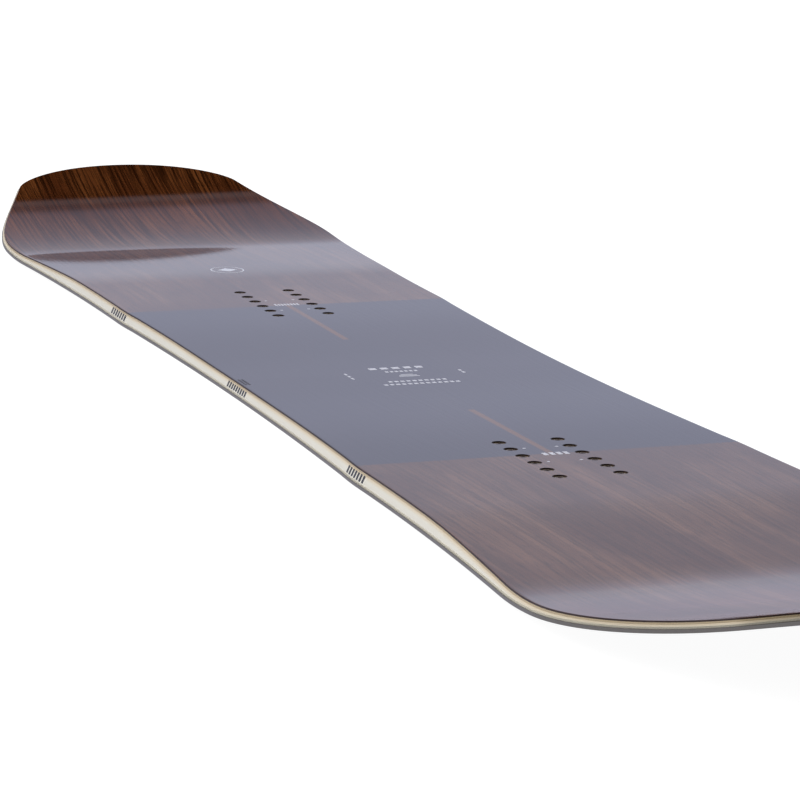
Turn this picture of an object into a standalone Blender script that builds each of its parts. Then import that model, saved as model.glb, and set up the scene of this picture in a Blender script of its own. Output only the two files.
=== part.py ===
"""Snowboard deck: an all-mountain twin with a wood veneer topsheet, built as its real lay-up.

From the snow up: sintered base, two steel edges with inner flanges, rubber foils, lower
laminate, strip wood core with sidewalls and tip spacers, threaded inserts, upper laminate
and topsheet. The frame is in metres: +X to the nose, +Y to the left rail, +Z up, with the
origin under the middle of the board, on the plane that the base rests on.
"""

import math

import bmesh
import bpy

# Outline of the board, seen from above, at the outer face of the steel edges.
LENGTH = 1.564
WAIST_WIDTH = 0.251
TIP_WIDTH = 0.2925
NOSE_LENGTH = 0.188  # tip to widest point; nose and tail are the same
CENTRE_SIDECUT_RADIUS = 5.6
GRIP_BUMP = 0.0006  # how far the rail steps out under each binding
GRIP_BLEND = 0.025  # half the length of that step
SIDECUT_TURN = 0.86  # share of the outer sidecut that is hollow; the rest turns back in

# The nose outline: one curve from the widest place to the shoulder, and one on to the tip.
SHOULDER_ALONG = 0.149  # from the widest place
SHOULDER_WIDTH = 0.206
SHOULDER_SLANT = math.radians(22)  # how steeply the outline turns in there
WIDEST_PULL = 0.051  # handle lengths: how far each curve keeps its direction
SHOULDER_PULL_BACK = 0.056
SHOULDER_PULL_ON = 0.016
TIP_PULL = 0.063

# Side profile of the base, and the thickness above it.
ROCKER_AT_TIP = 0.0080  # how far the plain rocker curve lifts the tips
KICK_LENGTH = 0.238  # from the tip to where the kick starts
KICK_RADIUS = 0.730
CENTRE_FLAT = 0.040  # half-length of the flat under the middle
MIDDLE_THICKNESS = 0.0097
PACK_THICKNESS = 0.0104
TIP_THICKNESS = 0.0064
TAPER_LEAD = 0.075  # the thickness starts to fall this far outside the binding flat
TAPER_LENGTH = 0.165  # and reaches the tips' thickness over this length

# Layers, and the glue line between any two of them.
GLUE_LINE = 0.0002
BASE_THICKNESS = 0.0012
BASE_JOINT_LEAD = 0.005  # how far outside the binding flat the base is jointed
EDGE_HEIGHT = 0.0021
EDGE_WIDTH = 0.0022
EDGE_FLANGE = 0.0045  # how far the flange reaches in behind the edge
EDGE_FLANGE_THICKNESS = 0.0005
FOIL_THICKNESS = 0.00025
LOWER_LAMINATE = 0.0006  # over the foils; it is thicker between the flanges
UPPER_LAMINATE = 0.0008
TOPSHEET_THICKNESS = 0.0008
SIDEWALL_WIDTH = 0.0090
SIDEWALL_SETBACK = 0.0006  # how far its foot stands in from the edge's outer face
SIDEWALL_ANGLE = math.radians(24)
SPACER_LENGTH = 0.220  # from the tip to where core and sidewalls end

# Wood core, as glued strips. Blocks in the two strips beside the middle one hold the inserts.
STRIP_WIDTH = 0.020
STRIPS_EACH_SIDE = 5

# Threaded inserts for binding screws, in two packs of two rows.
STANCE = 0.560  # centre to centre of the packs
INSERT_ROWS = 0.040  # distance between the two rows
INSERT_PITCH = 0.020
INSERTS_IN_ROW = 6
BORE_RADIUS = 0.0031  # clears the crest of an M6 screw
BARREL_RADIUS = 0.0040
FLANGE_RADIUS = 0.0080
FLANGE_HEIGHT = 0.0012
BORE_FLOOR = 0.0010  # metal left under the blind bore
FLAT_MARGIN = 0.015  # flat deck past the outermost inserts
ROUND_SEGMENTS = 12
STATION_STEP = 0.035  # longest stretch between two sections of the lay-up
GRIP_STEP = 0.0125  # the same where the rail steps out under a binding
NOSE_STATIONS = 16
CUT_OVERRUN = 0.0005  # how far a cutter runs past what it cuts
ROUNDING = 1e-6  # slack when two places are compared

PACKS = {"nose": 1, "tail": -1}
SIDES = {"left": 1, "right": -1}

HALF_LENGTH = LENGTH / 2
WIDEST = HALF_LENGTH - NOSE_LENGTH
KICK_START = HALF_LENGTH - KICK_LENGTH
SPACER_START = HALF_LENGTH - SPACER_LENGTH
PACK_CENTRE = STANCE / 2
PACK_REACH = (INSERTS_IN_ROW - 1) / 2 * INSERT_PITCH
FLAT_START = PACK_CENTRE - PACK_REACH - FLAT_MARGIN
FLAT_END = PACK_CENTRE + PACK_REACH + FLAT_MARGIN
BASE_JOINT = FLAT_END + BASE_JOINT_LEAD
TAPER_START = FLAT_END + TAPER_LEAD
TAPER_END = TAPER_START + TAPER_LENGTH
GRIP_CENTRE = PACK_CENTRE - GRIP_BLEND / 2
GRIP_START = GRIP_CENTRE - GRIP_BLEND
GRIP_END = GRIP_CENTRE + GRIP_BLEND

# Heights above the base, where each layer starts and ends. The upper ones count down from
# the top of the board, and the core fills what is left.
FLANGE_FLOOR = BASE_THICKNESS + GLUE_LINE
FLANGE_TOP = FLANGE_FLOOR + EDGE_FLANGE_THICKNESS
FOIL_FLOOR = FLANGE_TOP + GLUE_LINE
FOIL_TOP = FOIL_FLOOR + FOIL_THICKNESS
RIM_FLOOR = max(FOIL_TOP, EDGE_HEIGHT) + GLUE_LINE
LOWER_LAMINATE_TOP = RIM_FLOOR + LOWER_LAMINATE
CORE_FLOOR = LOWER_LAMINATE_TOP + GLUE_LINE
UPPER_LAMINATE_DEPTH = TOPSHEET_THICKNESS + GLUE_LINE + UPPER_LAMINATE
CORE_DEPTH = UPPER_LAMINATE_DEPTH + GLUE_LINE
SIDEWALL_SLOPE = math.tan(SIDEWALL_ANGLE)


def mix(low, high, share):
    return low + (high - low) * share


def smoothstep(low, high, value):
    share = min(max((value - low) / (high - low), 0.0), 1.0)
    return share * share * (3 - 2 * share)


def sidecut(x):
    """Half-width of the rail between the middle and the widest point."""
    middle = WAIST_WIDTH / 2 + x * x / (2 * CENTRE_SIDECUT_RADIUS)
    grip_width = WAIST_WIDTH / 2 + GRIP_CENTRE**2 / (2 * CENTRE_SIDECUT_RADIUS) + GRIP_BUMP
    share = max(x - GRIP_CENTRE, 0.0) / (WIDEST - GRIP_CENTRE)
    if share < SIDECUT_TURN:
        rise = share * share / SIDECUT_TURN
    else:
        rise = 1 - (1 - share) ** 2 / (1 - SIDECUT_TURN)
    outer = mix(grip_width, TIP_WIDTH / 2, rise)
    return mix(middle, outer, smoothstep(GRIP_START, GRIP_END, x))


def nose_curves():
    """The two cubic curves of the nose outline, each as four points (x, half-width)."""
    widest, tip = (WIDEST, TIP_WIDTH / 2), (HALF_LENGTH, 0.0)
    shoulder = (WIDEST + SHOULDER_ALONG, SHOULDER_WIDTH / 2)
    run, fall = math.cos(SHOULDER_SLANT), math.sin(SHOULDER_SLANT)
    leave_widest = (widest[0] + WIDEST_PULL, widest[1])
    meet = (shoulder[0] - SHOULDER_PULL_BACK * run, shoulder[1] + SHOULDER_PULL_BACK * fall)
    leave = (shoulder[0] + SHOULDER_PULL_ON * run, shoulder[1] - SHOULDER_PULL_ON * fall)
    meet_tip = (tip[0], TIP_PULL)
    return (widest, leave_widest, meet, shoulder), (shoulder, leave, meet_tip, tip)


def nose_point(place):
    """Point of the nose outline: place runs from 0, the widest, past 1, the shoulder, to 2."""
    first, second = nose_curves()
    start, leave, meet, end = first if place < 1 else second
    share = place if place < 1 else place - 1
    left = 1 - share
    weights = (left**3, 3 * left * left * share, 3 * left * share * share, share**3)
    x, width = (
        sum(weight * point[axis] for weight, point in zip(weights, (start, leave, meet, end)))
        for axis in (0, 1)
    )
    return x, width


def nose_place(x):
    """Place on the nose outline that stands at x, found by halving."""
    low, high = 0.0, 2.0
    while high - low > ROUNDING:
        middle = (low + high) / 2
        if nose_point(middle)[0] < x:
            low = middle
        else:
            high = middle
    return low


def spread(start, end, count):
    """Places from start up to, and not including, end."""
    return [mix(start, end, i / count) for i in range(count)]


def half_outline():
    """Points of the left rail from the middle to the nose tip, as (x, half-width)."""
    breaks = {0.0, CENTRE_FLAT, FLAT_START, GRIP_START, GRIP_END, FLAT_END, BASE_JOINT}
    breaks |= {TAPER_START, TAPER_END, KICK_START, SPACER_START, WIDEST}
    breaks = sorted(x for x in breaks if x <= WIDEST)
    points = []
    for start, end in zip(breaks, breaks[1:]):
        step = GRIP_STEP if GRIP_START <= start < GRIP_END else STATION_STEP
        count = math.ceil((end - start) / step - ROUNDING)
        points += [(x, sidecut(x)) for x in spread(start, end, count)]
    places = spread(0.0, 2.0, NOSE_STATIONS)
    if SPACER_START > WIDEST:
        places = sorted(places + [nose_place(SPACER_START)])
    points += [nose_point(place) for place in places]
    points.append((HALF_LENGTH, GLUE_LINE / 2))
    return points


def offset_directions(points):
    """Unit steps inwards from each outline point.

    Over the core they run straight across, so that every layer there shares its stations.
    """
    directions = []
    for i, (x, width) in enumerate(points):
        before = points[max(i - 1, 0)]
        after = points[min(i + 1, len(points) - 1)]
        run, fall = after[0] - before[0], before[1] - after[1]
        length = math.hypot(run, fall)
        if x <= SPACER_START + GLUE_LINE:
            directions.append((0.0, -length / run))
        elif i == len(points) - 1:
            directions.append((-1.0, 0.0))
        else:
            directions.append((-fall / length, -run / length))
    return directions


HALF_OUTLINE = half_outline()
HALF_DIRECTIONS = offset_directions(HALF_OUTLINE)


def rail(inset):
    """Stations of the left rail moved inwards, from tail tip to nose tip: (x, half-width)."""
    half = []
    for (x, width), (step_x, step_y) in zip(HALF_OUTLINE, HALF_DIRECTIONS):
        half.append((x + inset * step_x, max(width + inset * step_y, GLUE_LINE / 2)))
    mirrored = [(-x, width) for x, width in reversed(half[1:])]
    return mirrored + half


def raw_base_line(x):
    kick = max(abs(x) - KICK_START, 0.0)
    rocker = ROCKER_AT_TIP * (x / HALF_LENGTH) ** 2
    return rocker + KICK_RADIUS - math.sqrt(KICK_RADIUS**2 - kick * kick)


def base_line(x):
    """Height of the base, dead flat under the middle and under each binding."""
    x = abs(x)
    if x < CENTRE_FLAT:
        return 0.0
    if FLAT_START < x < FLAT_END:
        share = (x - FLAT_START) / (FLAT_END - FLAT_START)
        height = mix(raw_base_line(FLAT_START), raw_base_line(FLAT_END), share)
    else:
        height = raw_base_line(x)
    return height - raw_base_line(CENTRE_FLAT)


def thickness(x):
    x = abs(x)
    if x < FLAT_START:
        return mix(MIDDLE_THICKNESS, PACK_THICKNESS, smoothstep(CENTRE_FLAT, FLAT_START, x))
    share = min(max((x - TAPER_START) / (TAPER_END - TAPER_START), 0.0), 1.0)
    return mix(PACK_THICKNESS, TIP_THICKNESS, share)


def above_base(height):
    return lambda x: base_line(x) + height


def below_deck(depth):
    return lambda x: base_line(x) + thickness(x) - depth


def sidewall_inset(x, height_line):
    """How far the slanted side stands in from the edge's outer face at a height."""
    rise = height_line(x) - base_line(x) - EDGE_HEIGHT
    return SIDEWALL_SETBACK + rise * SIDEWALL_SLOPE


def material(name, colour, roughness, metallic=0.0):
    made = bpy.data.materials.new(name)
    made.use_nodes = True
    shader = made.node_tree.nodes["Principled BSDF"]
    shader.inputs["Base Color"].default_value = (*colour, 1.0)
    shader.inputs["Roughness"].default_value = roughness
    shader.inputs["Metallic"].default_value = metallic
    return made


def add_mesh(name, mesh_builder, finish, collection):
    mesh = bpy.data.meshes.new(name)
    bmesh.ops.recalc_face_normals(mesh_builder, faces=mesh_builder.faces)
    mesh_builder.to_mesh(mesh)
    mesh_builder.free()
    if finish:
        mesh.materials.append(finish)
    made = bpy.data.objects.new(name, mesh)
    collection.objects.link(made)
    return made


def loft(name, rings, finish, collection):
    """A closed solid through rings of points that differ from station to station."""
    builder = bmesh.new()
    rows = [[builder.verts.new(point) for point in ring] for ring in rings]
    count = len(rings[0])
    for this, following in zip(rows, rows[1:]):
        for i in range(count):
            j = (i + 1) % count
            builder.faces.new((this[i], this[j], following[j], following[i]))
    builder.faces.new(reversed(rows[0]))
    builder.faces.new(rows[-1])
    return add_mesh(name, builder, finish, collection)


def plate(name, inset, floor, top, finish, collection, start, end):
    """A layer of one width from rail to rail between two height lines, from start to end."""
    rings = []
    for x, half in rail(inset):
        if not start - GLUE_LINE < x < end + GLUE_LINE:
            continue
        x = min(max(x, start), end)
        low, high = floor(x), top(x)
        rings.append([(x, -half, low), (x, half, low), (x, half, high), (x, -half, high)])
    return loft(name, rings, finish, collection)


def slanted_plate(name, floor, top, finish, collection, start=-HALF_LENGTH):
    """A layer from start to the nose, whose rim follows the slant of the sidewall."""
    rings = []
    steps = [(-x, y) for x, y in reversed(HALF_DIRECTIONS[1:])] + HALF_DIRECTIONS
    for (x, width), (step_x, step_y) in zip(rail(0.0), steps):
        if x < start - GLUE_LINE - ROUNDING:
            continue
        x = max(x, start)
        ring = []
        for line, side in ((floor, -1), (floor, 1), (top, 1), (top, -1)):
            inset = sidewall_inset(x, line)
            at_x = x + inset * step_x
            half = max(width + inset * step_y, GLUE_LINE / 2)
            ring.append((at_x, side * half, line(at_x)))
        rings.append(ring)
    return loft(name, rings, finish, collection)


def rim_strip(name, side, section, finish, collection):
    """A strip that runs along one rail from tail to nose, with a section of (inset, height)."""
    rings = []
    rails = [rail(inset) for inset, _ in section]
    for stations in zip(*rails):
        ring = []
        for (x, half), (_, height) in zip(stations, section):
            ring.append((x, side * half, base_line(x) + height))
        rings.append(ring)
    return loft(name, rings, finish, collection)


def turned(name, profile, finish, collection):
    """A solid turned about Z from a profile of (radius, height), from its outer rim inwards."""
    mesh = bpy.data.meshes.new(name)
    edges = [(i, i + 1) for i in range(len(profile) - 1)]
    mesh.from_pydata([(radius, 0.0, height) for radius, height in profile], edges, [])
    if finish:
        mesh.materials.append(finish)
    made = bpy.data.objects.new(name, mesh)
    collection.objects.link(made)
    screw = made.modifiers.new("turn", "SCREW")
    screw.axis = "Z"
    screw.steps = ROUND_SEGMENTS
    screw.render_steps = ROUND_SEGMENTS
    screw.use_merge_vertices = True
    screw.merge_threshold = 0.00005
    return made


def cut(target, cutter):
    hole = target.modifiers.new("insert_holes", "BOOLEAN")
    hole.operation = "DIFFERENCE"
    hole.solver = "EXACT"
    hole.object = cutter


def make_base(collection):
    """Running base in three lengths, jointed just outside the binding flats."""
    finish = material("sintered_polyethylene", (0.012, 0.012, 0.014), 0.45)
    inset = EDGE_WIDTH + GLUE_LINE
    floor, top = above_base(0.0), above_base(BASE_THICKNESS)
    inner, outer = BASE_JOINT - GLUE_LINE / 2, BASE_JOINT + GLUE_LINE / 2
    lengths = {
        "base_tail": (-HALF_LENGTH, -outer),
        "base_middle": (-inner, inner),
        "base_nose": (outer, HALF_LENGTH),
    }
    for name, (start, end) in lengths.items():
        plate(name, inset, floor, top, finish, collection, start, end)


def make_edges(collection):
    finish = material("edge_steel", (0.42, 0.43, 0.46), 0.28, 1.0)
    flange = EDGE_WIDTH + EDGE_FLANGE
    section = [
        (0.0, 0.0),
        (EDGE_WIDTH, 0.0),
        (EDGE_WIDTH, FLANGE_FLOOR),
        (flange, FLANGE_FLOOR),
        (flange, FLANGE_TOP),
        (EDGE_WIDTH, FLANGE_TOP),
        (EDGE_WIDTH, EDGE_HEIGHT),
        (0.0, EDGE_HEIGHT),
    ]
    for side, sign in SIDES.items():
        rim_strip(f"steel_edge_{side}", sign, section, finish, collection)


def make_foils(collection):
    finish = material("damping_rubber", (0.03, 0.03, 0.03), 0.9)
    outer = EDGE_WIDTH + GLUE_LINE
    inner = EDGE_WIDTH + EDGE_FLANGE
    section = [
        (outer, FOIL_FLOOR),
        (inner, FOIL_FLOOR),
        (inner, FOIL_TOP),
        (outer, FOIL_TOP),
    ]
    for side, sign in SIDES.items():
        rim_strip(f"rubber_foil_{side}", sign, section, finish, collection)


def make_lower_laminate(collection):
    """Glass laminate: it lies on the base between the flanges and steps up over the foils."""
    finish = material("glass_laminate", (0.62, 0.55, 0.36), 0.4)
    step = EDGE_WIDTH + EDGE_FLANGE + GLUE_LINE
    outer = rail(SIDEWALL_SETBACK)
    inner = rail(step)
    rings = []
    for (x_out, out), (x_in, inn) in zip(outer, inner):
        low, rim = base_line(x_in) + FLANGE_FLOOR, base_line(x_in) + RIM_FLOOR
        rim_out = base_line(x_out) + RIM_FLOOR
        top = base_line(x_out) + LOWER_LAMINATE_TOP
        rings.append(
            [
                (x_in, -inn, low),
                (x_in, inn, low),
                (x_in, inn, rim),
                (x_out, out, rim_out),
                (x_out, out, top),
                (x_out, -out, top),
                (x_out, -out, rim_out),
                (x_in, -inn, rim),
            ]
        )
    loft("lower_laminate", rings, finish, collection)


def make_sidewalls(collection):
    finish = material("sidewall_plastic", (0.74, 0.71, 0.63), 0.42)
    floor, top = above_base(CORE_FLOOR), below_deck(CORE_DEPTH)
    for side, sign in SIDES.items():
        rings = []
        for x, half in rail(0.0):
            if abs(x) > SPACER_START + ROUNDING:
                continue
            foot = half - sidewall_inset(x, floor)
            head = half - sidewall_inset(x, top)
            inner = half - SIDEWALL_WIDTH
            rings.append(
                [
                    (x, sign * foot, floor(x)),
                    (x, sign * inner, floor(x)),
                    (x, sign * inner, top(x)),
                    (x, sign * head, top(x)),
                ]
            )
        loft(f"sidewall_{side}", rings, finish, collection)


def make_spacers(collection):
    finish = material("spacer_plastic", (0.74, 0.71, 0.63), 0.42)
    floor, top = above_base(CORE_FLOOR), below_deck(CORE_DEPTH)
    start = SPACER_START + GLUE_LINE
    for name, sign in PACKS.items():
        spacer = slanted_plate(f"{name}_spacer", floor, top, finish, collection, start)
        if sign < 0:
            spacer.rotation_euler.z = math.pi


def strip_bounds(index, half):
    """Inner and outer edge of the core strip with this index, left of the middle."""
    low = (index - 0.5) * STRIP_WIDTH + GLUE_LINE / 2
    high = (index + 0.5) * STRIP_WIDTH - GLUE_LINE / 2
    if index == STRIPS_EACH_SIDE:
        high = half - SIDEWALL_WIDTH - GLUE_LINE
    return low, high


def core_pieces():
    """Name, strip index and both ends of each piece of the core.

    The strips under the insert rows are cut to length round a block for each pack.
    """
    insert_strip = round(INSERT_ROWS / 2 / STRIP_WIDTH)
    gap = GLUE_LINE / 2
    yield "core_strip_middle", 0, -SPACER_START, SPACER_START
    for side, sign in SIDES.items():
        for place in range(1, STRIPS_EACH_SIDE + 1):
            name, index = f"core_strip_{side}_{place}", sign * place
            if place != insert_strip:
                yield name, index, -SPACER_START, SPACER_START
                continue
            yield f"{name}_tail", index, -SPACER_START, -FLAT_END - gap
            yield f"insert_block_tail_{side}", index, -FLAT_END + gap, -FLAT_START - gap
            yield f"{name}_middle", index, -FLAT_START + gap, FLAT_START - gap
            yield f"insert_block_nose_{side}", index, FLAT_START + gap, FLAT_END - gap
            yield f"{name}_nose", index, FLAT_END + gap, SPACER_START


def make_core(collection, pockets):
    light = material("poplar_strip", (0.66, 0.50, 0.30), 0.6)
    hard = material("insert_block", (0.48, 0.30, 0.15), 0.6)
    floor, top = above_base(CORE_FLOOR), below_deck(CORE_DEPTH)
    halves = dict(rail(0.0))
    reach = FLANGE_RADIUS + GLUE_LINE
    for name, index, start, end in core_pieces():
        place, sign = abs(index), math.copysign(1, index)
        inside = [x for x in halves if start + ROUNDING < x < end - ROUNDING]
        if place < STRIPS_EACH_SIDE:
            inside = [x for x in inside if not FLAT_START + ROUNDING < abs(x) < FLAT_END - ROUNDING]
        rings = []
        for x in (start, *inside, end):
            low, high = strip_bounds(place, halves.get(x) or sidecut(abs(x)))
            rings.append(
                [
                    (x, sign * low, floor(x)),
                    (x, sign * high, floor(x)),
                    (x, sign * high, top(x)),
                    (x, sign * low, top(x)),
                ]
            )
        finish = hard if name.startswith("insert_block") else light
        piece = loft(name, rings, finish, collection)
        if abs(place * STRIP_WIDTH - INSERT_ROWS / 2) < STRIP_WIDTH / 2 + reach:
            cut(piece, pockets)


def make_upper_laminate(collection, pockets):
    finish = material("glass_laminate_upper", (0.70, 0.56, 0.34), 0.35)
    floor = below_deck(UPPER_LAMINATE_DEPTH)
    top = below_deck(TOPSHEET_THICKNESS + GLUE_LINE)
    cut(slanted_plate("upper_laminate", floor, top, finish, collection), pockets)


def make_topsheet(collection, pockets):
    finish = material("stained_veneer", (0.085, 0.040, 0.018), 0.18)
    floor, top = below_deck(TOPSHEET_THICKNESS), below_deck(0.0)
    cut(slanted_plate("topsheet", floor, top, finish, collection), pockets)


def pack_frames():
    """An empty at the middle of each binding flat, on the base and tilted with it."""
    slope = (raw_base_line(FLAT_END) - raw_base_line(FLAT_START)) / (FLAT_END - FLAT_START)
    frames = {}
    for name, sign in PACKS.items():
        frame = bpy.data.objects.new(f"{name}_pack_frame", None)
        frame.location = (sign * PACK_CENTRE, 0.0, base_line(PACK_CENTRE))
        frame.rotation_euler.y = -sign * math.atan(slope)
        bpy.context.scene.collection.objects.link(frame)
        frames[name] = frame
    return frames


def insert_places():
    """Name and place in its pack's frame of every insert."""
    for pack in PACKS:
        for side, sign in SIDES.items():
            for i in range(INSERTS_IN_ROW):
                along = i * INSERT_PITCH - PACK_REACH
                yield pack, f"{pack}_{side}_{i + 1}", (along, sign * INSERT_ROWS / 2)


def make_inserts(collection, frames):
    finish = material("insert_steel", (0.62, 0.60, 0.56), 0.3, 1.0)
    foot = CORE_FLOOR + GLUE_LINE
    head = PACK_THICKNESS - TOPSHEET_THICKNESS - GLUE_LINE
    shoulder = foot + FLANGE_HEIGHT
    profile = [
        (0.0, foot + BORE_FLOOR),
        (BORE_RADIUS, foot + BORE_FLOOR),
        (BORE_RADIUS, head),
        (BARREL_RADIUS, head),
        (BARREL_RADIUS, shoulder),
        (FLANGE_RADIUS, shoulder),
        (FLANGE_RADIUS, foot),
        (0.0, foot),
    ]
    for pack, name, (along, across) in insert_places():
        insert = turned(f"insert_{name}", profile, finish, collection)
        insert.parent = frames[pack]
        insert.location = (along, across, 0.0)


def make_pockets(cutters, frames):
    """One cutter that holds a stepped pocket for each insert, up through the deck."""
    flange_top = CORE_FLOOR + FLANGE_HEIGHT + 2 * GLUE_LINE
    foot, head = CORE_FLOOR - CUT_OVERRUN, PACK_THICKNESS + CUT_OVERRUN
    barrel = BARREL_RADIUS + GLUE_LINE
    flange = FLANGE_RADIUS + GLUE_LINE
    profile = [(0.0, head), (barrel, head), (barrel, flange_top)]
    profile += [(flange, flange_top), (flange, foot), (0.0, foot)]
    bpy.context.view_layer.update()
    master = turned("pocket_master", profile, None, cutters)
    graph = bpy.context.evaluated_depsgraph_get()
    shape = bpy.data.meshes.new_from_object(master.evaluated_get(graph))
    joined = bmesh.new()
    for pack, _, (along, across) in insert_places():
        before = len(joined.verts)
        joined.from_mesh(shape)
        joined.verts.ensure_lookup_table()
        fresh = joined.verts[before:]
        bmesh.ops.translate(joined, verts=fresh, vec=(along, across, 0.0))
        bmesh.ops.transform(joined, matrix=frames[pack].matrix_world, verts=fresh)
    bmesh.ops.remove_doubles(joined, verts=joined.verts, dist=ROUNDING)
    bpy.data.objects.remove(master)
    pockets = add_mesh("insert_pockets", joined, None, cutters)
    pockets.hide_render = True
    pockets.display_type = "WIRE"
    return pockets


def shade(collection):
    for made in collection.objects:
        if made.type == "MESH" and made.data.polygons:
            made.data.shade_smooth()
            made.data.set_sharp_from_angle(angle=math.radians(30))


def main():
    for old in list(bpy.data.objects):
        bpy.data.objects.remove(old)
    board = bpy.data.collections.new("snowboard")
    cutters = bpy.data.collections.new("cutters")
    bpy.context.scene.collection.children.link(board)
    bpy.context.scene.collection.children.link(cutters)
    frames = pack_frames()
    pockets = make_pockets(cutters, frames)
    make_base(board)
    make_edges(board)
    make_foils(board)
    make_lower_laminate(board)
    make_sidewalls(board)
    make_spacers(board)
    make_core(board, pockets)
    make_upper_laminate(board, pockets)
    make_topsheet(board, pockets)
    make_inserts(board, frames)
    shade(board)


main()
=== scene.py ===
"""Looks of the bare snowboard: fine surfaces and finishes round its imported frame, and a studio."""

import math

import bmesh
import bpy
import numpy as np
from bpy.props import FloatProperty, FloatVectorProperty, IntProperty, PointerProperty, StringProperty
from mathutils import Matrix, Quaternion, Vector


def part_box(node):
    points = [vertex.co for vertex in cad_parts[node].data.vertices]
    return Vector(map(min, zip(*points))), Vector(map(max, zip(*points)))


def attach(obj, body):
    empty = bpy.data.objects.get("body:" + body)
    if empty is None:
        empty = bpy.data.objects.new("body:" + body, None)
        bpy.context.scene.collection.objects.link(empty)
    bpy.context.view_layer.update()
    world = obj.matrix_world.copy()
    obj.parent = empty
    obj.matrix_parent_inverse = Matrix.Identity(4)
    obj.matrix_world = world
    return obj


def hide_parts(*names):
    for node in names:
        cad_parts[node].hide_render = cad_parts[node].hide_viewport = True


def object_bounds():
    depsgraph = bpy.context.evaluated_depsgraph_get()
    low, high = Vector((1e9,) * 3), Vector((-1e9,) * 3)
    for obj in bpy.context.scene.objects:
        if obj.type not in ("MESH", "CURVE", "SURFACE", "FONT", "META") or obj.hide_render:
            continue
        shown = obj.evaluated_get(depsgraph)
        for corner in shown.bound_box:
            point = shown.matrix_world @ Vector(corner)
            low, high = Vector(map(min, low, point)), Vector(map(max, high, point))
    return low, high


bl_info = {
    "name": "Veneer Snowboard",
    "version": (1, 0, 0),
    "blender": (4, 5, 0),
    "location": "3D View > Sidebar > Snowboard",
    "description": "Finishes a snowboard's lay-up and lights it in a plain studio",
    "category": "Object",
}

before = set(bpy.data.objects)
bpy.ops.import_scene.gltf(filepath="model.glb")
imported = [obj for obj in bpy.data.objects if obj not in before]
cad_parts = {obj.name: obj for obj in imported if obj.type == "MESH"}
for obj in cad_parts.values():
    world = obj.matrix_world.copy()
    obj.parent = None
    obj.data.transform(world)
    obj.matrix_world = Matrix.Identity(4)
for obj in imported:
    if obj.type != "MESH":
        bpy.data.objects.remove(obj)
CAD_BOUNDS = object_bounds()
BODY = "root"

EDGE_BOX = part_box("steel_edge_left")
SIDEWALL_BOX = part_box("sidewall_left")
FIRST_SOCKET_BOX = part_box("insert_nose_left_1")
LAST_SOCKET_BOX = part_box("insert_nose_left_6")

BASE_NODES = ["base_tail", "base_middle", "base_nose"]
SIDES = {"left": 1, "right": -1}
TIPS = {"nose": 1, "tail": -1}
SHARP_ANGLE = math.radians(32)
SEAM = 0.00002  # hairline between two layers
RIM = 0.0015  # width of the strip that carries a rounded edge's shading


def length_property(name, description, default, precision=4):
    return FloatProperty(
        name=name, description=description, default=default, min=0.0, precision=precision, unit="LENGTH"
    )


def angle_property(name, description, degrees):
    return FloatProperty(
        name=name, description=description, default=math.radians(degrees), unit="ROTATION"
    )


def hex_property(name, description, default):
    return StringProperty(name=name, description=description, default=default)


class BoardShape(bpy.types.PropertyGroup):
    length: length_property("Length", "Tip to tip", EDGE_BOX[1].x - EDGE_BOX[0].x)
    tip_width: length_property("Tip width", "Widest place of nose and tail", 2 * EDGE_BOX[1].y)
    waist: length_property("Waist width", "Width at the middle", 0.251)
    nose_length: length_property("Nose length", "Tip to the widest place", 0.188)
    sidecut_radius: length_property("Sidecut radius", "Radius of the rail between the bindings", 5.6)
    grip_bump: length_property("Grip bump", "Step out of the rail under a binding", 0.0006)
    grip_blend: length_property("Grip blend", "Half the length of that step", 0.025)
    sidecut_turn: FloatProperty(
        name="Sidecut turn",
        description="Share of the outer sidecut that is hollow",
        default=0.86,
        min=0.1,
        max=0.95,
    )
    shoulder_along: length_property("Shoulder along", "Widest place to the nose's shoulder", 0.149)
    shoulder_width: length_property("Shoulder width", "Width of the nose at its shoulders", 0.206)
    shoulder_slant: angle_property(
        "Shoulder slant", "How steeply the outline turns in at the shoulder", 22
    )
    widest_pull: length_property("Widest pull", "Curve handle at the widest place", 0.051)
    shoulder_pull_back: length_property("Shoulder pull back", "Curve handle before the shoulder", 0.056)
    shoulder_pull_on: length_property("Shoulder pull on", "Curve handle after the shoulder", 0.016)
    tip_pull: length_property("Tip pull", "Curve handle at the tip", 0.063)
    rocker: length_property("Rocker", "Lift of the tips by the plain rocker", 0.008)
    kick_length: length_property("Kick length", "Tip to the start of the kick", 0.238)
    kick_radius: length_property("Kick radius", "Radius of the kick", 0.730)
    middle_thickness: length_property("Middle thickness", "Thickness at the middle", 0.0097)
    pack_thickness: length_property("Pack thickness", "Thickness at the bindings", 0.0104)
    tip_thickness: length_property("Tip thickness", "Thickness of the tips", 0.0064)
    taper_start: length_property("Taper start", "Where the thickness starts to fall", 0.420)
    taper_length: length_property("Taper length", "Over which the thickness falls", 0.165)
    body_step: length_property("Body step", "Distance between sections along the rail", 0.005)
    nose_step: length_property("Nose step", "Distance between sections round the nose", 0.0025)


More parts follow.
